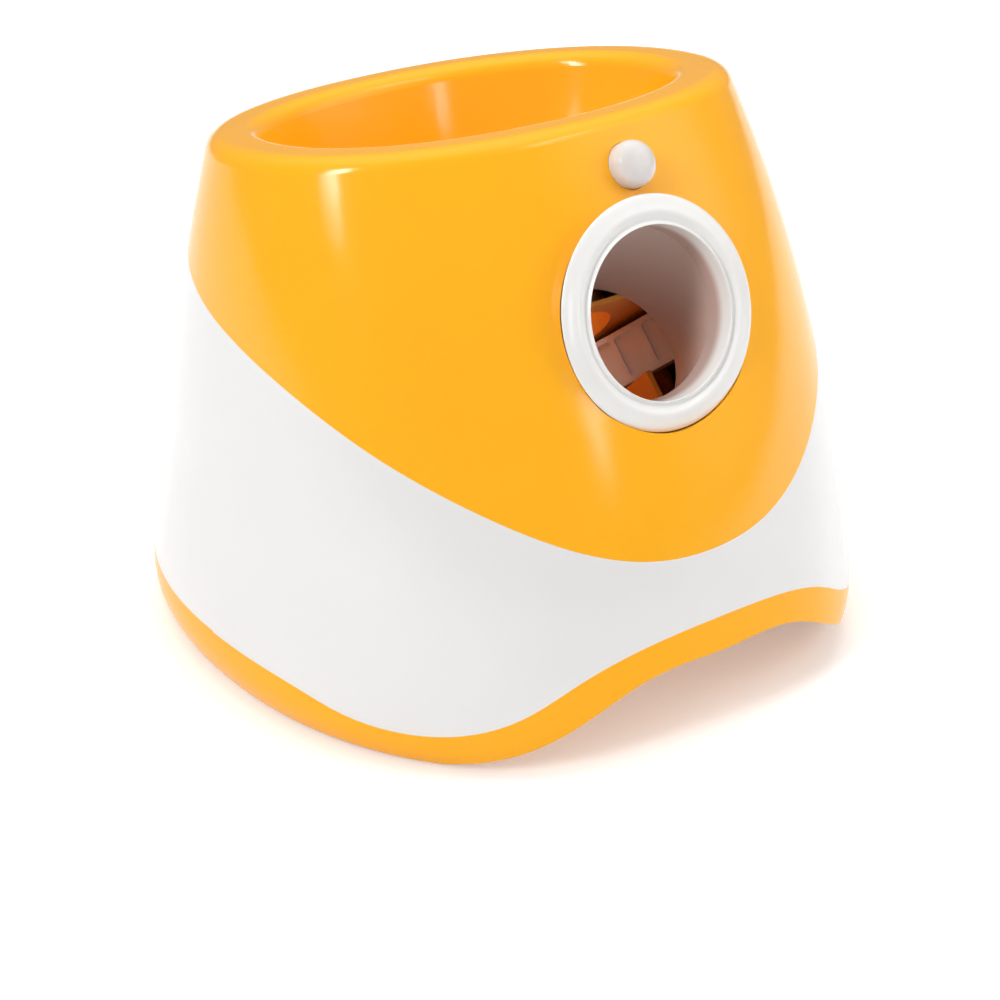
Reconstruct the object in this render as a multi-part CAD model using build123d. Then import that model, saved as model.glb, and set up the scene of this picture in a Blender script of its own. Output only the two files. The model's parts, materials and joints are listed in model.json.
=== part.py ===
from build123d import *
import math
import os

os.makedirs("parts", exist_ok=True)

# ---------------------------------------------------------------- driving dimensions, mm
# Body: a flared tub, wider and deeper at the foot, with a tilted rim. +X right, -Y front, +Z up.
BODY_SCALE_Z = 240.0        # height over which the wall formulas run from 0 to 1
HALF_WIDTH = 145.0          # half the width at the foot
HALF_DEPTH = 157.0          # half the depth at the foot
ROUNDNESS = 2.17            # exponent of the super-ellipse that every level section follows
WALL = 3.0                  # moulded wall
FOOT_GAP = 2.2              # the foot rim stands this far above the floor, on rubber pads
RIM_HEIGHT = 219.3          # height of the rim plane over the centre
RIM_TILT = 9.0              # degrees; the rim rises to the front
RIM_ROUND = 8.0

ARCH_HEIGHT = 38.0          # the front edge lifts in a wide arch
ARCH_FLAT = 20.0
ARCH_REACH = 119.0
ARCH_DEPTH_Y = -62.0        # the arch vault ends here, under the body

FLOOR_BOTTOM = 8.0          # base floor plate
FLOOR_TOP = 11.0

# Launch opening and the inclined launch axis
MOUTH_Y = -102.5
MOUTH_Z = 163.5
MOUTH_TILT = 20.7           # the ring's face leans back by this much
RING_R = 45.0
MOUTH_R = 33.1
SLEEVE_DEPTH = 12.0
LAUNCH_ANGLE = 45.0         # elevation of the launch axis
TUBE_END_S = 42.0
TUBE_END_R = 30.0
TUBE_WALL = 2.5

# Mechanism, in launch coordinates: x across, s inward along the launch axis, w square to both.
# A 50 mm ball rests on the deck with its centre at s = 78, w = 3.
DECK_TOP, DECK_BOTTOM = -22.0, -25.0
DECK_X0, DECK_X1 = -60.0, 76.0
DECK_S0, DECK_S1 = 44.0, 116.0
COVER_BOTTOM, COVER_TOP = 22.0, 24.0
SEAT_S = 78.0
SEAT_HOLE_R = 29.5
ARM_X, ARM_S = 58.0, 52.0   # axis of the striker arm
ARM_REST = 130.0            # direction of the wound arm from +x; released it lies at 180
ARM_LENGTH = 70.0
ARM_HUB_R = 8.0
PLATE_TOP, PLATE_BOTTOM = -58.0, -60.0
PLATE_S1 = 106.0
STANDOFFS = ((-52, 56), (71, 58), (-52, 98), (70, 98))
COVER_POSTS = ((71, 47.5), (70, 108), (38, 110), (-10, 111))

# Gear train: arm sector <- toothed part of the drive gear <- idler <- motor pinion
PRESSURE_ANGLE = 25.0
COARSE, MIDDLE, FINE = 1.5, 1.0, 0.8
SECTOR_TEETH, PARTIAL_TEETH = 32, 18
SPUR_TEETH, IDLER_TEETH = 64, 14
LARGE_TEETH, MOTOR_TEETH = 62, 12
DRIVE_X, DRIVE_S = 25.52, 70.75
IDLER_X = -13.48
MOTOR_X = -43.08

SHAFT_R = 3.0
PIN_R = 2.0
SCREW_R = 1.5
RUNNING = 0.06              # radial running clearance

# Battery bay for six C cells, 26.2 mm across and 50 mm long, laid in three rows along X
CELL_ROW_Y = (20.0, 48.0, 76.0)
BAY_X = 54.0
BAY_Y0, BAY_Y1 = 5.0, 91.0
BAY_TOP = 45.0
BAY_WALL = 2.0
DOOR_TABS_Y = (16.0, 48.0, 80.0)

HOUSING_TABS = ((58.5, 25), (58.5, 72), (-58.5, 25), (-58.5, 72))
LEG_SCREWS = ((-69, -48), (-69, -29), (85, -48), (85, -29))
FEET = ((108, -70), (-108, -70), (88, 98), (-88, 98))
FOOT_R = 8.0

launch = Plane(
    origin=(0, MOUTH_Y, MOUTH_Z),
    x_dir=(1, 0, 0),
    z_dir=(0, math.sin(math.radians(LAUNCH_ANGLE)), math.cos(math.radians(LAUNCH_ANGLE))),
)
mouth = Plane(
    origin=(0, MOUTH_Y, MOUTH_Z),
    x_dir=(1, 0, 0),
    z_dir=(0, -math.cos(math.radians(MOUTH_TILT)), math.sin(math.radians(MOUTH_TILT))),
)


def save(shape, name):
    export_step(shape, "parts/" + name + ".step")


def to_launch(shape):
    """Move a piece drawn in launch coordinates to its place in the object."""
    return launch.location * shape


def group(pieces):
    solids = []
    for piece in pieces:
        solids.extend(piece.solids())
    return Compound(children=solids)


# ---------------------------------------------------------------- body surface
def body_section(z):
    """Half width, half depth and rearward shift of the outer wall at height z."""
    q = z / BODY_SCALE_Z
    return (HALF_WIDTH - 20.3 * q - 22.7 * q**3, HALF_DEPTH - 62 * q - 20.5 * q**3, -11 * q + 28.5 * q * q)


def foot_tuck(z):
    """The wall rounds inward over its lowest 30 mm."""
    return 9.2 * min(1.0, max(0.0, 1 - z / 30.0)) ** 2.8


def ring_of_points(half_x, half_y, shift, count=32):
    points = []
    for i in range(count):
        a = 2 * math.pi * i / count
        c, s = math.cos(a), math.sin(a)
        r = (abs(c / half_x) ** ROUNDNESS + abs(s / half_y) ** ROUNDNESS) ** (-1 / ROUNDNESS)
        points.append((r * c, shift + r * s))
    return points


def section_face(half_x, half_y, shift, z):
    points = [(x, y, z) for x, y in ring_of_points(half_x, half_y, shift)]
    return Face(Wire([Spline(*points, periodic=True)]))


def body_solid(inset, z_low, z_high):
    levels = [0, 5, 12, 21, 32, 55, 85, 115, 145, 175, 200, 222, 245]
    levels = [z_low] + [z for z in levels if z_low + 2 < z < z_high - 6] + [z_high]
    faces = []
    for z in levels:
        a, h, m = body_section(z)
        t = foot_tuck(z) + inset
        faces.append(section_face(a - t, h - t, m, z))
    return loft(faces)


def rim_plane(drop):
    t = math.radians(RIM_TILT)
    return Plane(origin=(0, 0, RIM_HEIGHT - drop), x_dir=(1, 0, 0), z_dir=(0, math.sin(t), math.cos(t)))


def above_rim(drop):
    return rim_plane(drop).location * Pos(0, 0, 100) * Box(500, 500, 200)


def bib_zone():
    """Everything above the U-shaped seam between the orange shell and the white skirt."""
    seam = [(-165, 50), (-137, 77), (-118, 93.5), (-100, 106.5), (-75, 121), (-50, 133.3), (-20, 144.5),
            (15, 153.5), (60, 165), (110, 177), (170, 191)]
    points = [(0, y, z) for y, z in seam]
    top = 320
    outline = Wire([
        Spline(*points),
        Line(points[-1], (0, 170, top)),
        Line((0, 170, top), (0, -165, top)),
        Line((0, -165, top), points[0]),
    ])
    return extrude(Face(outline), amount=200, dir=(1, 0, 0), both=True)


def foot_zone():
    """Everything below the seam between the white skirt and the orange base: wavy in front, level behind."""
    half = [(0, 51), (34, 48.3), (61.7, 39), (82.6, 26.8), (101, 18.9), (117.6, 16.5), (129.9, 19),
            (137.9, 23.8), (145, 26), (165, 26)]
    points = [(-x, 0, z) for x, z in reversed(half[1:])] + [(x, 0, z) for x, z in half]
    outline = Wire([
        Spline(*points, tangents=[(1, 0, 0), (1, 0, 0)]),
        Line(points[-1], (165, 0, -40)),
        Line((165, 0, -40), (-165, 0, -40)),
        Line((-165, 0, -40), points[0]),
    ])
    return extrude(Face(outline), amount=190, dir=(0, -1, 0)) + block(-165, 165, -0.1, 190, -40, 26)


def arch_outline(grow):
    """Half-sine arch of the front edge, in X and Z."""
    points = []
    for x in (-ARCH_REACH, -102, -86, -70, -54, -38, -ARCH_FLAT, 0):
        u = min(1.0, max(0.0, (abs(x) - ARCH_FLAT) / (ARCH_REACH - ARCH_FLAT)))
        points.append((x, ARCH_HEIGHT * 0.5 * (1 + math.cos(math.pi * u)) + grow))
    points += [(-x, z) for x, z in reversed(points[:-1])]
    return points


def arch_solid(grow, y0, y1):
    points = [(x, y0, z) for x, z in arch_outline(grow)]
    low = -20
    outline = Wire([
        Spline(*points),
        Line(points[-1], (ARCH_REACH, y0, low)),
        Line((ARCH_REACH, y0, low), (-ARCH_REACH, y0, low)),
        Line((-ARCH_REACH, y0, low), points[0]),
    ])
    return extrude(Face(outline), amount=y1 - y0, dir=(0, 1, 0))


def wall_y(z, front=True):
    a, h, m = body_section(z)
    return m - h if front else m + h


# ---------------------------------------------------------------- shells
SENSOR_Z = 212.8
SENSOR_TILT = 31.0
SENSOR_R = 9.2
SENSOR_X = 6.0
sensor_plane = Plane(
    origin=(SENSOR_X, wall_y(SENSOR_Z), SENSOR_Z),
    x_dir=(1, 0, 0),
    z_dir=(0, -math.cos(math.radians(SENSOR_TILT)), math.sin(math.radians(SENSOR_TILT))),
)

PANEL_Z = 92.0
PANEL_TILT = 14.0
PANEL_LENGTH, PANEL_HEIGHT = 88.0, 30.0
panel_plane = Plane(
    origin=(0, wall_y(PANEL_Z, front=False), PANEL_Z),
    x_dir=(-1, 0, 0),
    z_dir=(0, math.cos(math.radians(PANEL_TILT)), math.sin(math.radians(PANEL_TILT))),
)


def on(plane, shape):
    return plane.location * shape


def rod(radius, z0, z1, x=0.0, y=0.0):
    return Pos(x, y, (z0 + z1) / 2) * Cylinder(radius, z1 - z0)


def tube(outer, inner, z0, z1, x=0.0, y=0.0):
    return rod(outer, z0, z1, x, y) - rod(inner, z0 - 1, z1 + 1, x, y)


def block(x0, x1, y0, y1, z0, z1):
    return Pos((x0 + x1) / 2, (y0 + y1) / 2, (z0 + z1) / 2) * Box(x1 - x0, y1 - y0, z1 - z0)


def slab(length, height, radius, z0, z1):
    return Pos(0, 0, z0) * extrude(RectangleRounded(length, height, radius), z1 - z0)


HOLE_HALF_X, HOLE_HALF_Y, HOLE_Y = 30.0, 37.0, -2.5


def bowl_solid(grow):
    """Space of the ball bowl: tapering walls, then a shallow funnel to the drop hole."""
    floor = 165 - grow
    sections = [(floor, 73, 55, 13.5), (190, 82, 61, 18), (218, 90, 66.5, 21.5), (245, 98, 71, 25)]
    walls = loft([section_face(a + grow, h + grow, m, z) for z, a, h, m in sections])
    walls = fillet(walls.faces().sort_by(Axis.Z)[0].edges(), 9)
    funnel = loft([
        section_face(HOLE_HALF_X + grow, HOLE_HALF_Y + grow, HOLE_Y, 154 - grow),
        section_face(62 + grow, 44 + grow, 12.5, floor + 1),
    ], ruled=True)
    return walls + funnel


def plate_like_body(inset, z0, z1):
    a, h, m = body_section(z0)
    t = foot_tuck(z0) + inset
    return extrude(section_face(a - t, h - t, m, z0), z1 - z0)


def polar(x, y, angle, radius):
    return (x + radius * math.cos(math.radians(angle)), y + radius * math.sin(math.radians(angle)))


# ---------------------------------------------------------------- upper shell: bib, rim and bowl
bib = bib_zone()
foot = foot_zone()
crown = body_solid(0, 60, 250) - above_rim(0)
crown = fillet(crown.faces().sort_by(Axis.Z)[-1].edges(), RIM_ROUND)
crown_zone = bib + extrude(section_face(86, 76, 14, 147), 60)
crown = (crown & crown_zone) - bowl_solid(0)
top_normal = rim_plane(0).z_dir
top_edges = []
for edge in crown.edges():
    if max(abs((edge @ u - rim_plane(0).origin).dot(top_normal)) for u in (0.3, 0.7)) < 0.05:
        top_edges.append(edge)
bowl_edge = min(top_edges, key=lambda edge: edge.length)
crown = fillet([bowl_edge], RIM_ROUND - 1)
hollow = ((body_solid(WALL, 54, 256) - above_rim(WALL + 1.5)) & crown_zone) - bowl_solid(WALL)
drop_hole = loft([section_face(HOLE_HALF_X, HOLE_HALF_Y, HOLE_Y, z) for z in (140, 155)])
upper_shell = crown - hollow - drop_hole
seat_outline = Polyline((0, 0, -40), (40.8, 0, -40), (40.8, 0, -7.6), (RING_R + 0.4, 0, -0.8),
                        (RING_R + 0.4, 0, 30), (0, 0, 30), close=True)
upper_shell -= on(mouth, revolve(make_face(seat_outline), Axis.Z))
upper_shell -= on(sensor_plane, rod(SENSOR_R + 0.2, -8, 10))
save(upper_shell, "upper_shell")

# ---------------------------------------------------------------- skirt shell and base shell
wall = body_solid(0, FOOT_GAP, 195) - body_solid(WALL, -4, 202)
skirt = wall - bib - foot
lug_limit = body_solid(WALL - 0.5, 34, 58)
for x, y in FEET:
    angle = math.degrees(math.atan2(y, x))
    arm = Pos(x, y, 43) * (Rot(0, 0, angle) * (Pos(17, 0, 0) * Box(34, 12, 6)) + Cylinder(7, 6))
    skirt += arm & lug_limit
    skirt -= rod(SCREW_R, 30, 47, x, y)
skirt -= on(panel_plane, slab(PANEL_LENGTH + 0.4, PANEL_HEIGHT + 0.4, 8.2, -14, 12))
save(skirt, "skirt_shell")

base = wall & foot
base += plate_like_body(2.0, FLOOR_BOTTOM, FLOOR_TOP)
base += arch_solid(2.5, -170, ARCH_DEPTH_Y + 2.5) & body_solid(1.5, FOOT_GAP, 60)
for x, y in FEET:
    base += rod(10, 2.2, 9, x, y) + rod(7, 10, 39.8, x, y)
base -= arch_solid(0, -175, ARCH_DEPTH_Y)
for x, y in FEET:
    base -= rod(FOOT_R + 0.1, -1, 3.5, x, y) + rod(4.2, 3, 6.2, x, y) + rod(SCREW_R, 5, 45, x, y)
for x, y in LEG_SCREWS:
    base -= rod(SCREW_R, 8.4, 12, x, y)
for x, y in HOUSING_TABS:
    base -= rod(SCREW_R, 8.4, 12, x + math.copysign(2, x), y)
base -= block(-52, 52, 7, 89, 0, 20)
for y in DOOR_TABS_Y:
    for side in (1, -1):
        base += Pos(side * 58.9, y, 5.7) * Box(3.2, 11, 5)
        base += Pos(side * 57.0, y, 4.05) * Box(4.2, 11, 1.7)
save(base, "base_shell")

feet = [rod(FOOT_R, 0, 3.5, x, y) - rod(2, -1, 2, x, y) for x, y in FEET]
feet = [fillet(foot.edges().group_by(Axis.Z)[0].sort_by(SortBy.LENGTH)[-1], 0.8) for foot in feet]
save(group(feet), "rubber_feet")
base_screw = rod(SCREW_R, 5.9, 47.5) + rod(4, 3.7, 6) - block(-2.6, 2.6, -0.5, 0.5, 3, 4.6)
save(group([Pos(x, y, 0) * base_screw for x, y in FEET]), "base_screws")

# ---------------------------------------------------------------- launch opening
bezel = Wire([
    Line((40.4, 0, -7.6), (RING_R, 0, -0.8)),
    Spline((RING_R, 0, -0.8), (44.3, 0, 0.2), (41.0, 0, 1.1), (37.6, 0, 1.7), (34.6, 0, 0.6),
           (MOUTH_R, 0, -3), tangents=[(0.2, 0, 1), (0, 0, -1)]),
    Line((MOUTH_R, 0, -3), (MOUTH_R, 0, -SLEEVE_DEPTH)),
    Line((MOUTH_R, 0, -SLEEVE_DEPTH), (MOUTH_R + TUBE_WALL, 0, -SLEEVE_DEPTH)),
    Line((MOUTH_R + TUBE_WALL, 0, -SLEEVE_DEPTH), (MOUTH_R + TUBE_WALL, 0, -4)),
    Line((MOUTH_R + TUBE_WALL, 0, -4), (38.2, 0, -4)),
    Line((38.2, 0, -4), (38.2, 0, -7.6)),
    Line((38.2, 0, -7.6), (40.4, 0, -7.6)),
])
save(on(mouth, revolve(Face(bezel), Axis.Z)), "nozzle_ring")


def tube_solid(grow, depth, end_s):
    """Tube that bends from the mouth's axis onto the launch axis."""
    start = mouth.location * Pos(0, 0, -depth) * Circle(MOUTH_R + grow).face()
    end = launch.location * Pos(0, end_s, 0) * Rot(90, 0, 0) * Circle(TUBE_END_R + grow).face()
    return loft([start, end])


launch_tube = tube_solid(TUBE_WALL, SLEEVE_DEPTH, TUBE_END_S)
launch_tube -= tube_solid(0, SLEEVE_DEPTH - 0.01, TUBE_END_S + 0.01)
launch_tube += on(mouth, tube(MOUTH_R + 6.5, MOUTH_R + 1.5, -SLEEVE_DEPTH - 2.5, -SLEEVE_DEPTH))
save(launch_tube, "launch_tube")

# ---------------------------------------------------------------- sensor in the rim
dome = Wire([
    Line((0, 0, 9.2), (0, 0, 7.8)),
    Spline((0, 0, 7.8), (4.4, 0, 6.6), (7.0, 0, 3.2), (7.7, 0, -2.6), tangents=[(1, 0, 0), (0, 0, -1)]),
    Line((7.7, 0, -2.6), (SENSOR_R, 0, -2.6)),
    Line((SENSOR_R, 0, -2.6), (SENSOR_R, 0, 2.8)),
    Spline((SENSOR_R, 0, 2.8), (8.0, 0, 6.2), (4.6, 0, 8.5), (0, 0, 9.2),
           tangents=[(-0.1, 0, 1), (-1, 0, 0)]),
])
save(on(sensor_plane, revolve(Face(dome), Axis.Z)), "sensor_dome")
board = rod(SENSOR_R, -4.4, -2.8)
for x in (-2.5, 2.5):
    board -= rod(0.5, -6, 0, x)
save(on(sensor_plane, board), "sensor_board")
can = rod(4.1, -2.8, 1.0) + rod(4.6, -2.8, -2.2)
can += rod(0.5, -6.5, -2.8, -2.5) + rod(0.5, -6.5, -2.8, 2.5)
save(on(sensor_plane, can), "infrared_detector")

# ---------------------------------------------------------------- rear control panel
POCKET_FLOOR, POCKET_BACK = -7.5, -10.0
POWER_X, DISTANCE_X, JACK_X = -26.5, -6.5, 29.0
LED_X = (7.0, 11.5, 16.0)
BUTTON_R = 7.0
tub = on(panel_plane, slab(PANEL_LENGTH, PANEL_HEIGHT, 8, POCKET_BACK, 12)) & body_solid(-0.8, 60, 125)
tub -= on(panel_plane, slab(PANEL_LENGTH - 5, PANEL_HEIGHT - 5, 6, POCKET_FLOOR, 14))
for x in (POWER_X, DISTANCE_X):
    tub -= on(panel_plane, rod(BUTTON_R + 0.35, -12, -5, x))
for x in LED_X:
    tub -= on(panel_plane, rod(1.5, -12, -5, x))
tub -= on(panel_plane, rod(5.75, -12, -5, JACK_X))
for x in (-39, 39):
    tub += on(panel_plane, rod(3, -15.4, POCKET_BACK, x))
    tub -= on(panel_plane, rod(1.2, -18, -11, x))
save(tub, "control_panel")
for x, name in ((POWER_X, "power_button"), (DISTANCE_X, "distance_button")):
    button = rod(BUTTON_R, -12.4, -4.9, x)
    button = fillet(button.edges().group_by(Axis.Z)[-1], 1.0)
    button += rod(BUTTON_R + 1.6, -12.4, -10.6, x)
    save(on(panel_plane, button), name)
lenses = []
for x in LED_X:
    lens = rod(1.5, -10.5, -6.9, x)
    lenses.append(on(panel_plane, fillet(lens.edges().group_by(Axis.Z)[-1], 0.6)))
save(group(lenses), "led_lenses")
jack = rod(5.7, -10.5, -6.6, JACK_X) + Pos(JACK_X, 0, -12.9) * Box(11, 9, 5) - rod(2.75, -14, -5, JACK_X)
jack += rod(1.0, -15, -7.6, JACK_X)
save(on(panel_plane, jack), "dc_jack")
board = slab(84, 24, 1, -17, -15.4)
for x in (-39, 39):
    board -= rod(1.2, -18, -14, x)
save(on(panel_plane, board), "control_board")
switches = []
for x in (POWER_X, DISTANCE_X):
    switches.append(on(panel_plane, Pos(x, 0, -14.95) * Box(6, 6, 0.9) + rod(1.6, -14.6, -14.0, x)))
save(group(switches), "tact_switches")
screws = []
for x in (-39, 39):
    screws.append(on(panel_plane, rod(1.2, -17.05, -11.5, x) + rod(2.3, -18.4, -17, x)))
save(group(screws), "control_board_screws")

# ---------------------------------------------------------------- battery bay and main board
housing = block(-BAY_X, BAY_X, BAY_Y0, BAY_Y1, FLOOR_TOP, BAY_TOP)
inside = BAY_X - BAY_WALL
housing -= block(-inside, inside, BAY_Y0 + BAY_WALL, BAY_Y1 - BAY_WALL, 0, BAY_TOP - BAY_WALL)
for x, y in HOUSING_TABS:
    housing += Pos(x, y, FLOOR_TOP + 1.25) * Box(13, 12, 2.5) - block(-53, 53, 0, 95, 0, 30)
for y0, y1 in ((CELL_ROW_Y[0], CELL_ROW_Y[1]), (CELL_ROW_Y[1], CELL_ROW_Y[2])):
    mid = (y0 + y1) / 2
    for x in (-52, 30):
        housing += block(x, x + 22, mid - 0.75, mid + 0.75, BAY_TOP - 20, BAY_TOP - 1)
BOARD_POSTS = ((-36, 22), (36, 22), (-36, 70), (36, 70))
for x, y in BOARD_POSTS:
    housing += rod(3, BAY_TOP - 1, BAY_TOP + 4, x, y)
    housing -= rod(SCREW_R, BAY_TOP - 1, BAY_TOP + 5, x, y)
for x, y in HOUSING_TABS:
    housing -= rod(SCREW_R, 5, 20, x + math.copysign(2, x), y)
save(housing, "battery_housing")
housing_screw = rod(SCREW_R, 8.4, 13.5) + rod(2.8, 13.5, 15.3) - block(-2, 2, -0.4, 0.4, 14.5, 16)
housing_screws = [Pos(x + math.copysign(2, x), y, 0) * housing_screw for x, y in HOUSING_TABS]
save(group(housing_screws), "battery_housing_screws")

plates, springs = [], []
for row, y in enumerate(CELL_ROW_Y):
    for side in (1, -1):
        plates.append(Pos(side * 51.7, y, 27) * Box(0.6, 20, 22))
    side = 1 if row % 2 else -1
    turns = 4
    start = side * 51.4
    points = []
    for i in range(turns * 8 + 1):
        t = i / (turns * 8)
        a = 2 * math.pi * turns * t
        r = 5.5 - 2.2 * t
        points.append((start - side * (0.9 + 6.0 * t), y + r * math.cos(a), 26 + r * math.sin(a)))
    path = Spline(*points)
    springs.append(sweep(Plane(path @ 0, z_dir=path % 0) * Circle(0.45), path))
save(group(plates), "battery_contacts")
save(group(springs), "battery_springs")

door = block(-54.5, 54.5, 4.5, 91.5, 5.2, 7.7)
door = fillet(door.edges().filter_by(Axis.Z), 3)
for y in DOOR_TABS_Y:
    for side in (1, -1):
        door += Pos(side * 55.5, y, 6.45) * Box(3, 10, 2.5)
for i in range(4):
    door -= Pos(0, 78 + 3 * i, 5.2) * Box(30, 1.4, 1.2)
save(door, "battery_door")

board = block(-40, 40, 17, 75, BAY_TOP + 4, BAY_TOP + 5.6)
for x, y in BOARD_POSTS:
    board -= rod(SCREW_R, 40, 60, x, y)
save(board, "main_board")
BT = BAY_TOP + 5.6
parts = [
    block(-30, -14, 40, 56, BT, BT + 2.4),
    block(2, 18, 26, 34, BT, BT + 6),
    block(-24, -10, 22, 29, BT, BT + 8),
    block(-6, 8, 62, 69, BT, BT + 7),
    rod(4, BT, BT + 9, 26, 44),
    rod(4, BT, BT + 9, 26, 55),
]
save(group(parts), "board_parts")
save(rod(6, BT, BT + 8, -27, 64) - rod(1, BT + 6, BT + 9, -27, 64), "buzzer")
board_screws = [rod(SCREW_R, BAY_TOP - 0.5, BT, x, y) + rod(2.6, BT, BT + 1.6, x, y) for x, y in BOARD_POSTS]
save(group(board_screws), "main_board_screws")

# ---------------------------------------------------------------- gears
def gear_outline(module, teeth, tooth_angle, kept):
    """Involute teeth, one of them centred on tooth_angle, over the range of angles in kept."""
    alpha = math.radians(PRESSURE_ANGLE)
    pitch = module * teeth / 2
    base = pitch * math.cos(alpha)
    root, tip = pitch - 1.2 * module, pitch + 0.95 * module
    half = math.pi / (2 * teeth) - 0.09 * module / pitch
    involute = math.tan(alpha) - alpha
    low = max(root, base)
    flank = [(root, half + involute)] if root < base else []
    for t in (0, 0.35, 0.7, 1):
        r = low + (tip - low) * t
        a = math.acos(min(1.0, base / r))
        flank.append((r, half + involute - (math.tan(a) - a)))
    step = 360 / teeth
    first = tooth_angle - step * math.floor((tooth_angle - kept[0]) / step)
    points = []
    for i in range(teeth):
        if first + i * step > kept[1]:
            break
        centre = math.radians(first + i * step)
        points += [(r * math.cos(centre - a), r * math.sin(centre - a)) for r, a in flank]
        points += [(r * math.cos(centre + a), r * math.sin(centre + a)) for r, a in reversed(flank)]
    return points


def gear(module, teeth, tooth_angle, w0, w1):
    points = gear_outline(module, teeth, tooth_angle, (0, 359.9))
    return Pos(0, 0, w0) * extrude(make_face(Polyline(*points, close=True)), w1 - w0)


def gear_sector(module, teeth, tooth_angle, kept, hub, w0, w1):
    points = gear_outline(module, teeth, tooth_angle, kept) + [(0, 0)]
    return Pos(0, 0, w0) * extrude(make_face(Polyline(*points, close=True)), w1 - w0) + rod(hub, w0, w1)


# arm gear, fixed on the striker's shaft
sector = gear_sector(COARSE, SECTOR_TEETH, 150, (88, 162), 9, -38, -32)
sector += rod(7, -38, -28)
sector -= rod(SHAFT_R, -60, 0)
save(to_launch(Pos(ARM_X, ARM_S, 0) * sector), "arm_gear")

# drive gear: a full spur gear below, a part-toothed pinion above
drive = gear(MIDDLE, SPUR_TEETH, 180, -46, -41)
drive += gear_sector(COARSE, PARTIAL_TEETH, -40, (-42, 73), 11.3, -41.5, -31)
drive += rod(5, -57, -28)
drive -= rod(SHAFT_R + RUNNING, -60, 0)
for i in range(6):
    drive -= rod(5.5, -50, -40, *polar(0, 0, 30 + 60 * i, 21))
save(to_launch(Pos(DRIVE_X, DRIVE_S, 0) * drive), "drive_gear")

# idler between the drive gear and the motor
idler = gear(MIDDLE, IDLER_TEETH, 180 / IDLER_TEETH, -50.5, -40)
idler += gear(FINE, LARGE_TEETH, 180, -54, -50)
idler += rod(3.8, -57, -28)
idler -= rod(PIN_R + RUNNING, -60, 0)
save(to_launch(Pos(IDLER_X, DRIVE_S, 0) * idler), "idler_gear")

pinion = gear(FINE, MOTOR_TEETH, 180 / MOTOR_TEETH, -55.5, -49.5) - rod(1, -60, 0)
save(to_launch(Pos(MOTOR_X, DRIVE_S, 0) * pinion), "motor_pinion")
save(to_launch(rod(1, -55.5, -11, MOTOR_X, DRIVE_S)), "motor_shaft")
save(to_launch(rod(SHAFT_R, -59.5, -23, DRIVE_X, DRIVE_S)), "drive_gear_pin")
save(to_launch(rod(PIN_R, -59.5, -23, IDLER_X, DRIVE_S)), "idler_gear_pin")

# ---------------------------------------------------------------- mechanism frame
frame = block(DECK_X0, DECK_X1, DECK_S0, DECK_S1, DECK_BOTTOM, DECK_TOP)
frame += block(-29.5, -27, 42.3, 108.5, DECK_TOP, COVER_BOTTOM)
frame += block(27, 29.5, 60, 104, DECK_TOP, -5)
frame += block(-29.5, 4, 106, 108.5, DECK_TOP, COVER_BOTTOM)
front_wall = block(-34, 47, 42.3, 44.8, DECK_BOTTOM, COVER_BOTTOM)
front_wall -= Pos(0, 43.5, 0) * Rot(90, 0, 0) * Cylinder(TUBE_END_R + TUBE_WALL + 0.3, 8)
frame += front_wall
for x, s in COVER_POSTS + ((-32.5, 46),):
    frame += rod(3.5, DECK_TOP - 1, COVER_BOTTOM, x, s)
for x, s in STANDOFFS:
    frame += rod(3.5, PLATE_TOP, DECK_TOP - 1, x, s)
frame += rod(14, DECK_TOP - 1, -12, MOTOR_X, DRIVE_S) - rod(12.1, DECK_TOP, -10, MOTOR_X, DRIVE_S)
frame += block(-38, -32.6, 84, 106, DECK_TOP - 1, -12)
legs = []
for x0, x1 in ((-62.5, -59), (75, 78.5)):
    outline = Polyline((0, -57, FLOOR_TOP), (0, -20, FLOOR_TOP), (0, -20, 42), (0, -40, 68.5),
                       (0, -76, 104.5), (0, -84, 96), (0, -57, 50), close=True)
    leg = Pos((x0 + x1) / 2, 0, 0) * extrude(make_face(outline), (x1 - x0) / 2, dir=(1, 0, 0), both=True)
    side = math.copysign(1, x0)
    pad = block(min(x0, x0 + side * 12), max(x1, x1 + side * 12), -57, -20, FLOOR_TOP, FLOOR_TOP + 3)
    legs.append(leg + pad)
frame = to_launch(frame) + legs[0] + legs[1]
for x, y in LEG_SCREWS:
    frame -= rod(SCREW_R, 0, 20, x, y)
cuts = [
    rod(5, -30, -20, ARM_X, ARM_S),
    rod(SHAFT_R, -26, -20, DRIVE_X, DRIVE_S),
    rod(PIN_R, -26, -20, IDLER_X, DRIVE_S),
    rod(3, -30, -20, MOTOR_X, DRIVE_S),
]
cuts.append(block(-31, -26, 83, 105.5, -10.5, -3.5))
for x, s in COVER_POSTS + ((-32.5, 46),):
    cuts.append(rod(1.2, 10, 30, x, s))
for x, s in STANDOFFS:
    cuts.append(rod(1.2, -70, -46, x, s))
frame -= [to_launch(cut) for cut in cuts]
save(frame, "mechanism_frame")
leg_screws = [rod(SCREW_R, 8.5, 14, x, y) + rod(2.8, 14, 16, x, y) for x, y in LEG_SCREWS]
save(group(leg_screws), "frame_screws")

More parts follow.
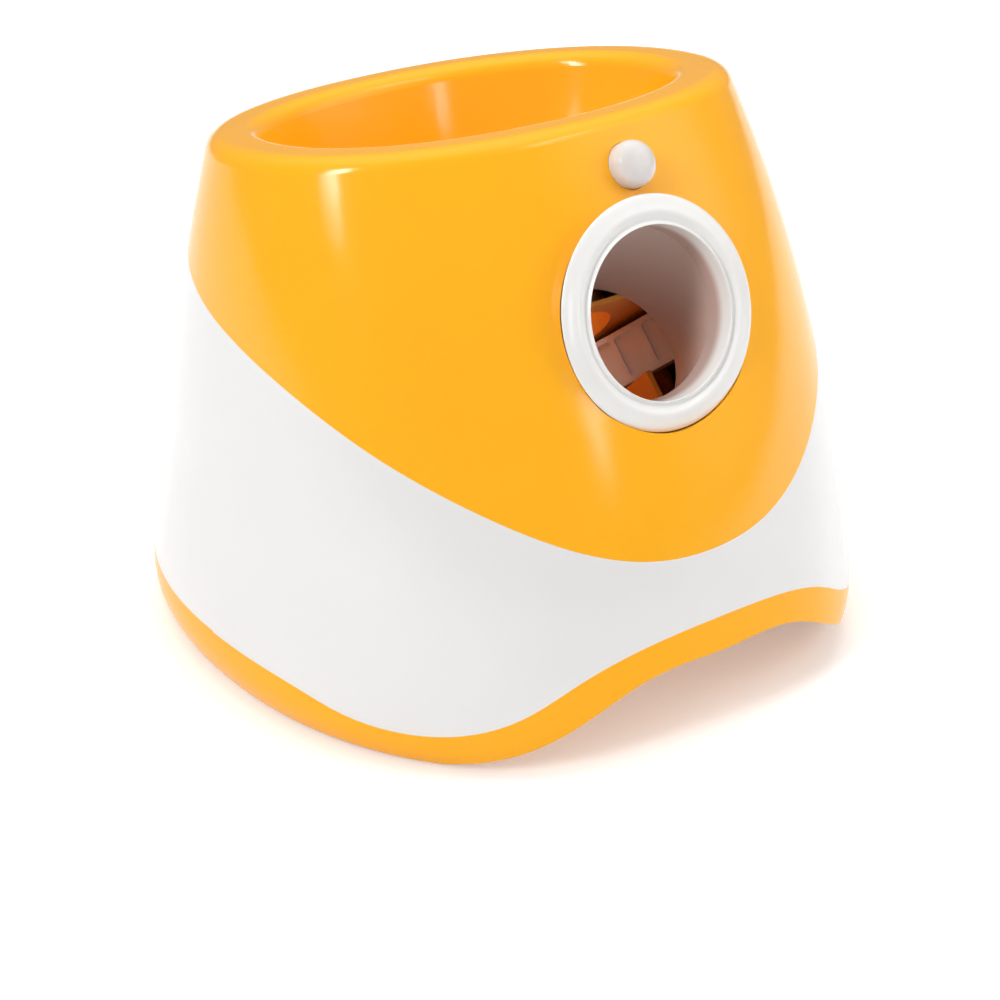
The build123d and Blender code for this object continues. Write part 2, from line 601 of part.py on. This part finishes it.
# gear plate closing the train from below
plate = block(-60, 77, DECK_S0, PLATE_S1, PLATE_BOTTOM, PLATE_TOP)
plate = chamfer(plate.edges().filter_by(Axis.Z).group_by(Axis.Y)[0], 14)
for radius, x, s in ((5, ARM_X, ARM_S), (SHAFT_R, DRIVE_X, DRIVE_S), (PIN_R, IDLER_X, DRIVE_S)):
    plate -= rod(radius, -62, -56, x, s)
for x, s in STANDOFFS:
    plate -= rod(1.2, -62, -56, x, s)
plate -= rod(16, -62, -56, -20, 70) + rod(9, -62, -56, 48, 90)
save(to_launch(plate), "gear_plate")
plate_screws = [rod(1.2, -60, -48, x, s) + rod(2.5, -62, -60, x, s) for x, s in STANDOFFS]
save(to_launch(group(plate_screws)), "gear_plate_screws")

# ---------------------------------------------------------------- chamber cover with the drop chute
cover = block(-36, 76, 42.3, DECK_S1, COVER_BOTTOM, COVER_TOP)
cover_world = to_launch(cover)


def chute_solid(grow):
    low = launch.location * Pos(0, SEAT_S, COVER_TOP - 1) * Circle(SEAT_HOLE_R + grow).face()
    high = section_face(HOLE_HALF_X + grow, HOLE_HALF_Y + grow, HOLE_Y, 150.6)
    return loft([low, high])


cover_world += chute_solid(2)
cover_world -= chute_solid(0)
cover_cuts = [rod(SEAT_HOLE_R, 20, COVER_TOP - 1, 0, SEAT_S), rod(5, 20, 26, ARM_X, ARM_S)]
for x, s in COVER_POSTS + ((-32.5, 46),):
    cover_cuts.append(rod(1.2, 20, 26, x, s))
cover_world -= [to_launch(cut) for cut in cover_cuts]
save(cover_world, "chamber_cover")
cover_screws = [rod(1.2, 12, COVER_TOP, x, s) + rod(2.5, COVER_TOP, COVER_TOP + 1.8, x, s)
                for x, s in COVER_POSTS + ((-32.5, 46),)]
save(to_launch(group(cover_screws)), "cover_screws")

# ---------------------------------------------------------------- striker arm
blade = block(6, ARM_LENGTH - 3, -3, 3, -3, 19) + rod(3, -3, 19, ARM_LENGTH - 3, 0)
for i in range(4):
    pocket = Pos(17.5 + 13 * i, 3, 8) * Box(11, 3, 17.5)
    blade -= fillet(pocket.edges().filter_by(Axis.Y), 1.5)
striker = Rot(0, 0, ARM_REST) * blade
striker += rod(ARM_HUB_R, -8, 20.5)
striker -= rod(SHAFT_R, -10, 22)
save(to_launch(Pos(ARM_X, ARM_S, 0) * striker), "striker_arm")
shaft = chamfer(rod(SHAFT_R, -59.6, 27).edges().filter_by(GeomType.CIRCLE), 0.5)
save(to_launch(Pos(ARM_X, ARM_S, 0) * shaft), "arm_shaft")
bushes = []
for w0, w1, f0, f1 in ((-25.4, -21.6, -21.6, -20.8), (21.2, 24.4, 24.4, 25.4), (-60.4, -57.6, -57.6, -56.6)):
    bush = rod(5, w0, w1) + rod(6.5, f0, f1) - rod(SHAFT_R + RUNNING, -70, 40)
    bushes.append(Pos(ARM_X, ARM_S, 0) * bush)
save(to_launch(group(bushes)), "arm_bushes")

coil = []
turns, wire = 6, 0.8
for i in range(turns * 12 + 1):
    a = 2 * math.pi * i / 12
    coil.append((9.4 * math.cos(a), 9.4 * math.sin(a), -19.0 + i * (9.4 / (turns * 12))))
path = Spline(*coil)
spring = sweep(Plane(path @ 0, z_dir=path % 0) * Circle(wire), path)
save(to_launch(Pos(ARM_X, ARM_S, 0) * spring), "striker_spring")
save(to_launch(block(36, 46, 44.8, 48.5, -2, 16)), "arm_bumper")

# ---------------------------------------------------------------- motor and ball switch
motor = rod(12, DECK_TOP, 9) + rod(2.8, -24.8, DECK_TOP) - rod(1 + RUNNING, -26, -10)
save(to_launch(Pos(MOTOR_X, DRIVE_S, 0) * motor), "motor")
cap = rod(11.6, 9, 12) + rod(3, 12, 13.5)
for x in (-7, 7):
    cap += Pos(x, 0, 13.5) * Box(2.5, 0.8, 5)
save(to_launch(Pos(MOTOR_X, DRIVE_S, 0) * cap), "motor_end_cap")
LEVER_X, LEVER_S = -30.6, 102.0
switch = block(-38, -32.7, 84, 106, -12, -2)
for w0, w1 in ((-12, -10), (-4, -2)):
    switch += block(-33, -29.7, 100.2, 103.8, w0, w1)
switch -= rod(0.8, -13, -1, LEVER_X, LEVER_S)
save(to_launch(switch), "ball_switch")
save(to_launch(rod(0.8, -12, -2, LEVER_X, LEVER_S)), "switch_pin")
lever = block(0, 18.4, -0.4, 0.4, -9.5, -4.5) + rod(0.4, -9.5, -4.5, 18.4, 0)
lever = Rot(0, 0, math.degrees(math.atan2(-17, 7))) * lever + rod(1.6, -9.5, -4.5)
lever -= rod(0.8 + RUNNING, -12, 0)
save(to_launch(Pos(LEVER_X, LEVER_S, 0) * lever), "switch_lever")
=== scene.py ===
import json
import math

import bpy
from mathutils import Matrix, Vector

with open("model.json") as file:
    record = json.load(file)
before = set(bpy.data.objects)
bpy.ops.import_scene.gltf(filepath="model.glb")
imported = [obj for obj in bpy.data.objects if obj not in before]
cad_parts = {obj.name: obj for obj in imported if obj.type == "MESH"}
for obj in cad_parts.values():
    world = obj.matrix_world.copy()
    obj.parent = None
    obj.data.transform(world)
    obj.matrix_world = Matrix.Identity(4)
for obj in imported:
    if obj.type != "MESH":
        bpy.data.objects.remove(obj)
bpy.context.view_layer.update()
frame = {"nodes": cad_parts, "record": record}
nodes = frame["nodes"]

ORANGE = (1.0, 0.44, 0.010)
WHITE = (0.765, 0.755, 0.75)
# painted shade with warm bounce light from the orange walls inside the launch tube, in place of the
# tube's own white
TUBE_IN_SHADE = (0.52, 0.39, 0.345)
FOOT_SPECULAR = 0.2

# the launch opening's face, in metres, and how far behind it the white fades into the tube's painted
# shade
MOUTH = (0, -0.1025, 0.1635)
MOUTH_TILT = math.radians(20.7)
MOUTH_AXIS = (0, -math.cos(MOUTH_TILT), math.sin(MOUTH_TILT))
DARK_FROM, DARK_TO = -0.002, -0.0075

# name: colour, roughness from and to, scale and depth of the skin, clouding of the colour, clear coat
PLASTICS = {
    "orange_gloss": (ORANGE, (0.10, 0.17), 700, 0.03, 0.02, 0.0),
    "orange_foot": (ORANGE, (0.16, 0.24), 700, 0.03, 0.02, 0.0),
    "white_gloss": (WHITE, (0.14, 0.22), 700, 0.03, 0.015, 0.2),
    "ring_gloss": ((0.82, 0.81, 0.79), (0.12, 0.18), 700, 0.03, 0.01, 0.0),
    # the tube's colour is painted shade and bounce light
    "tube_shaded_satin": (TUBE_IN_SHADE, (0.30, 0.42), 500, 0.06, 0.02, 0.0),
    "inner_orange": ((0.95, 0.40, 0.06), (0.26, 0.38), 500, 0.06, 0.03, 0.0),
    "striker_beige": ((0.95, 0.90, 0.86), (0.30, 0.42), 500, 0.06, 0.03, 0.0),
    "grey_satin": ((0.30, 0.31, 0.32), (0.30, 0.42), 1200, 0.10, 0.03, 0.0),
    "dark_satin": ((0.03, 0.03, 0.034), (0.32, 0.46), 1200, 0.12, 0.08, 0.0),
    "gear_nylon": ((0.83, 0.80, 0.72), (0.34, 0.48), 500, 0.05, 0.03, 0.0),
    "led_green": ((0.32, 0.66, 0.22), (0.08, 0.14), 600, 0.02, 0.03, 0.4),
}
# name: colour, roughness from and to
METALS = {
    "steel": ((0.62, 0.63, 0.65), (0.22, 0.38)),
    "spring_steel": ((0.50, 0.51, 0.53), (0.25, 0.40)),
    "brass": ((0.80, 0.60, 0.28), (0.2, 0.34)),
}
SLOT_MATERIALS = {
    "orange_shell": "orange_gloss",
    "white_shell": "white_gloss",
    "white_ring": "ring_gloss",
    "tube_white": "tube_shaded_satin",
    "lens_milky": "lens",
    "orange_inner": "inner_orange",
    "striker_beige": "striker_beige",
    "dark_plastic": "dark_satin",
    "grey_plastic": "grey_satin",
    "gear_nylon": "gear_nylon",
    "rubber_black": "rubber",
    "steel": "steel",
    "spring_steel": "spring_steel",
    "brass": "brass",
    "board_green": "board",
    "led_green": "led_green",
}

FLOOR_HALF = 3.0
FLOOR_GREY = (0.86, 0.86, 0.86, 1)
FLOOR_ROUGHNESS = 0.75
FLOOR_WHITE = 0.3
AMBIENT = 0.26
# azimuth and elevation seen from the object, half width and feather, half height and feather, strength
PANELS = (
    (-174, 36, 0.085, 0.045, 0.215, 0.13, 18.0),
    (-35, 30, 0.30, 0.22, 0.40, 0.22, 0.8),
    (60, 70, 0.55, 0.35, 0.45, 0.35, 0.6),
    (-79, 17, 0.045, 0.04, 0.09, 0.09, 6.0),
    (-46, 51, 0.16, 0.08, 0.05, 0.04, 3.0),
)
# name: place, aim, width, height, watts
SOFTBOXES = {
    "key": ((-1.35, -0.35, 1.15), (0, 0, 0.12), 0.35, 1.1, 4.2),
    "fill": ((1.5, -0.9, 0.9), (0, 0, 0.12), 1.0, 1.0, 10.5),
    "top": ((0.1, 0.25, 1.7), (0, 0, 0.1), 1.4, 1.4, 11.4),
}
CAMERA_PLACE = (-0.5542, -0.7467, 0.5293)
CAMERA_AIM = (-0.0035, -0.0063, 0.0444)
LENS = 87.9
SENSOR_WIDTH = 36.0


# ---------------------------------------------------------------- nodes
def feed(tree, socket, value):
    """Links value to the socket if it is a socket itself, and sets it otherwise."""
    if isinstance(value, bpy.types.NodeSocket):
        tree.links.new(value, socket)
    else:
        socket.default_value = value


def add_node(tree, kind, inputs=None, **settings):
    node = tree.nodes.new("ShaderNode" + kind)
    for name, value in settings.items():
        setattr(node, name, value)
    for key, value in (inputs or {}).items():
        feed(tree, node.inputs[key], value)
    return node


def math_node(tree, operation, *values):
    return add_node(tree, "Math", dict(enumerate(values)), operation=operation).outputs[0]


def dot_product(tree, vector, axis):
    return add_node(tree, "VectorMath", {0: vector, 1: axis}, operation="DOT_PRODUCT").outputs["Value"]


def noise(tree, scale, detail=3.0, roughness=0.5):
    inputs = {
        "Scale": scale,
        "Detail": detail,
        "Roughness": roughness,
        "Vector": add_node(tree, "TexCoord").outputs["Object"],
    }
    return add_node(tree, "TexNoise", inputs).outputs["Fac"]


def ramp(tree, source, low, high, start=0.3, end=0.7):
    node = add_node(tree, "ValToRGB", {"Fac": source})
    for element, position, colour in zip(node.color_ramp.elements, (start, end), (low, high)):
        element.position = position
        element.color = (*colour, 1)
    return node.outputs["Color"]


def span(tree, source, low, high):
    """Spreads the middle half of a noise over low to high."""
    inputs = {"From Min": 0.25, "From Max": 0.75, "To Min": low, "To Max": high, "Value": source}
    return add_node(tree, "MapRange", inputs).outputs["Result"]


# ---------------------------------------------------------------- materials
def new_material(name):
    material = bpy.data.materials.new(name)
    material.use_nodes = True
    tree = material.node_tree
    return material, tree, tree.nodes["Principled BSDF"]


def surface(tree, shader, colour, roughness, relief, strength, distance):
    """Feeds a shader's colour, roughness and bump."""
    bump = add_node(tree, "Bump", {"Strength": strength, "Distance": distance, "Height": relief})
    feed(tree, shader.inputs["Base Color"], colour)
    feed(tree, shader.inputs["Roughness"], roughness)
    feed(tree, shader.inputs["Normal"], bump.outputs["Normal"])


def plastic(name, colour, gloss, grain, grain_depth, tone, coat):
    """Moulded plastic: faint clouding of the colour, polish that varies, and a fine skin texture."""
    material, tree, shader = new_material(name)
    low = tuple(c * (1 - tone) for c in colour)
    high = tuple(min(1.0, c * (1 + tone)) for c in colour)
    clouds = ramp(tree, noise(tree, 14.0), low, high)
    polish = span(tree, noise(tree, 45.0, 4.0), *gloss)
    surface(tree, shader, clouds, polish, noise(tree, grain, 2.0), grain_depth, 0.0004)
    shader.inputs["IOR"].default_value = 1.5
    shader.inputs["Coat Weight"].default_value = coat
    shader.inputs["Coat Roughness"].default_value = 0.06
    return material


def metal(name, colour, gloss):
    """Drawn or turned metal with fine marks along one direction."""
    material, tree, shader = new_material(name)
    place = add_node(tree, "TexCoord").outputs["Object"]
    drawn = add_node(tree, "Mapping", {"Scale": (1.0, 1.0, 14.0), "Vector": place}).outputs["Vector"]
    marks = add_node(tree, "TexNoise", {"Scale": 320.0, "Detail": 4.0, "Vector": drawn}).outputs["Fac"]
    low = tuple(c * 0.86 for c in colour)
    surface(tree, shader, ramp(tree, marks, low, colour), span(tree, marks, *gloss), marks, 0.08, 0.0002)
    shader.inputs["Metallic"].default_value = 1.0
    return material


def rubber(name, colour):
    material, tree, shader = new_material(name)
    speckle = noise(tree, 700.0, 5.0, 0.7)
    high = tuple(c + 0.02 for c in colour)
    surface(tree, shader, ramp(tree, speckle, colour, high), span(tree, speckle, 0.62, 0.82),
            speckle, 0.25, 0.0003)
    return material


def milky_lens(name):
    """Translucent white polyethylene, as over an infrared detector."""
    material, tree, shader = new_material(name)
    cloud = noise(tree, 120.0)
    milk = ramp(tree, cloud, (0.84, 0.79, 0.77), (0.92, 0.88, 0.86))
    surface(tree, shader, milk, span(tree, cloud, 0.07, 0.14), noise(tree, 600.0), 0.05, 0.0003)
    shader.inputs["Transmission Weight"].default_value = 0.25
    shader.inputs["Subsurface Weight"].default_value = 0.4
    shader.inputs["Subsurface Radius"].default_value = (0.003, 0.003, 0.003)
    return material


def board(name):
    """Green solder mask with copper tracks showing through it."""
    material, tree, shader = new_material(name)
    place = add_node(tree, "TexCoord").outputs["Object"]
    tracks = add_node(tree, "TexVoronoi", feature="DISTANCE_TO_EDGE", distance="MANHATTAN")
    feed(tree, tracks.inputs["Scale"], 260.0)
    feed(tree, tracks.inputs["Vector"], place)
    edge = tracks.outputs["Distance"]
    mask = ramp(tree, edge, (0.03, 0.22, 0.10), (0.012, 0.12, 0.055), 0.05, 0.12)
    surface(tree, shader, mask, span(tree, noise(tree, 90.0), 0.25, 0.4), edge, 0.2, 0.0002)
    return material


def paint_shade_inside(material, shade_colour):
    """Paints shade into the ring: fades it from its own colour at the launch opening's face to the
    tube's painted shade further in.
    """
    tree = material.node_tree
    base = tree.nodes["Principled BSDF"].inputs["Base Color"]
    place = add_node(tree, "NewGeometry").outputs["Position"]
    offset = add_node(tree, "VectorMath", {0: place, 1: MOUTH}, operation="SUBTRACT").outputs["Vector"]
    limits = {"From Min": DARK_FROM, "From Max": DARK_TO, "Value": dot_product(tree, offset, MOUTH_AXIS)}
    depth = add_node(tree, "MapRange", limits, interpolation_type="SMOOTHSTEP").outputs["Result"]
    colours = {"Factor": depth, "A": base.links[0].from_socket, "B": (*shade_colour, 1)}
    feed(tree, base, add_node(tree, "Mix", colours, data_type="RGBA").outputs["Result"])


materials = {name: plastic(name, *values) for name, values in PLASTICS.items()}
materials.update({name: metal(name, *values) for name, values in METALS.items()})
materials["rubber"] = rubber("rubber", (0.03, 0.03, 0.03))
materials["lens"] = milky_lens("lens")
materials["board"] = board("board")
# painted shade: the ring darkens into the tube's shaded colour deeper in the opening
paint_shade_inside(materials["ring_gloss"], TUBE_IN_SHADE)
foot_shader = materials["orange_foot"].node_tree.nodes["Principled BSDF"]
foot_shader.inputs["Specular IOR Level"].default_value = FOOT_SPECULAR

for entry in frame["record"]["subparts"]:
    obj = nodes[entry["node"]]
    chosen = materials[SLOT_MATERIALS[entry["material_slot"]]]
    if not obj.material_slots:
        obj.data.materials.append(chosen)
    for slot in obj.material_slots:
        slot.material = chosen
for slot in nodes["base_shell"].material_slots:
    slot.material = materials["orange_foot"]


# ---------------------------------------------------------------- floor
def white_where_seen(tree, lit, strength):
    """Adds white to what the camera and reflections see of a surface, and sheds no extra light."""
    path = add_node(tree, "LightPath")
    rays = math_node(tree, "MAXIMUM", path.outputs["Is Camera Ray"], path.outputs["Is Glossy Ray"])
    white = add_node(tree, "Emission", {"Strength": math_node(tree, "MULTIPLY", rays, strength)})
    return add_node(tree, "AddShader", {0: lit, 1: white.outputs[0]}).outputs[0]


corners = [(-FLOOR_HALF, -FLOOR_HALF, 0), (FLOOR_HALF, -FLOOR_HALF, 0),
           (FLOOR_HALF, FLOOR_HALF, 0), (-FLOOR_HALF, FLOOR_HALF, 0)]
floor_mesh = bpy.data.meshes.new("floor")
floor_mesh.from_pydata(corners, [], [(0, 1, 2, 3)])
floor = bpy.data.objects.new("floor", floor_mesh)
bpy.context.scene.collection.objects.link(floor)
floor_material, floor_tree, floor_shader = new_material("floor_paper")
surface(floor_tree, floor_shader, FLOOR_GREY, FLOOR_ROUGHNESS, noise(floor_tree, 60.0), 0.02, 0.0005)
paper = white_where_seen(floor_tree, floor_shader.outputs[0], FLOOR_WHITE)
feed(floor_tree, floor_tree.nodes["Material Output"].inputs["Surface"], paper)
floor_mesh.materials.append(floor_material)

# ---------------------------------------------------------------- world
world = bpy.data.worlds.new("studio")
bpy.context.scene.world = world
world.use_nodes = True
sky_tree = world.node_tree
sky = add_node(sky_tree, "TexCoord").outputs["Generated"]


def direction(azimuth, elevation):
    a, e = math.radians(azimuth), math.radians(elevation)
    return Vector((math.cos(e) * math.cos(a), math.cos(e) * math.sin(a), math.sin(e)))


def soft_panel(azimuth, elevation, half_width, width_edge, half_height, height_edge, strength):
    """A glowing panel with feathered edges, seen in the direction of azimuth and elevation."""
    centre = direction(azimuth, elevation)
    across = Vector((0, 0, 1)).cross(centre).normalized()
    up = centre.cross(across)
    reach = []
    for axis, half, edge in ((across, half_width, width_edge), (up, half_height, height_edge)):
        along = math_node(sky_tree, "SUBTRACT", dot_product(sky_tree, sky, axis), axis.dot(centre))
        fading = {
            "From Min": half + edge,
            "From Max": max(0.0, half - edge),
            "Value": math_node(sky_tree, "ABSOLUTE", along),
        }
        fade = add_node(sky_tree, "MapRange", fading, interpolation_type="SMOOTHERSTEP")
        reach.append(fade.outputs["Result"])
    front = math_node(sky_tree, "GREATER_THAN", dot_product(sky_tree, sky, centre), 0.0)
    shape = math_node(sky_tree, "MULTIPLY", math_node(sky_tree, "MULTIPLY", *reach), front)
    return math_node(sky_tree, "MULTIPLY", shape, strength)


lit = AMBIENT
for values in PANELS:
    lit = math_node(sky_tree, "ADD", soft_panel(*values), lit)
path = add_node(sky_tree, "LightPath")
seen = math_node(sky_tree, "MAXIMUM", path.outputs["Is Camera Ray"], path.outputs["Is Transmission Ray"])
unseen = math_node(sky_tree, "SUBTRACT", 1.0, seen)
strength = math_node(sky_tree, "ADD", seen, math_node(sky_tree, "MULTIPLY", unseen, lit))
background = sky_tree.nodes["Background"]
feed(sky_tree, background.inputs["Strength"], strength)
background.inputs["Color"].default_value = (1, 1, 1, 1)


# ---------------------------------------------------------------- lamps and camera
def look_at(obj, place, aim):
    obj.location = place
    obj.rotation_euler = (Vector(aim) - Vector(place)).to_track_quat("-Z", "Y").to_euler()
    bpy.context.scene.collection.objects.link(obj)


for name, (place, aim, width, height, watts) in SOFTBOXES.items():
    lamp_data = bpy.data.lights.new(name, "AREA")
    lamp_data.shape = "RECTANGLE"
    lamp_data.size = width
    lamp_data.size_y = height
    lamp_data.energy = watts
    lamp = bpy.data.objects.new(name, lamp_data)
    lamp.visible_glossy = False
    look_at(lamp, place, aim)

camera_data = bpy.data.cameras.new("camera")
camera_data.lens = LENS
camera_data.sensor_width = SENSOR_WIDTH
camera = bpy.data.objects.new("camera", camera_data)
look_at(camera, CAMERA_PLACE, CAMERA_AIM)
bpy.context.scene.camera = camera

bpy.context.scene.view_settings.view_transform = "Standard"
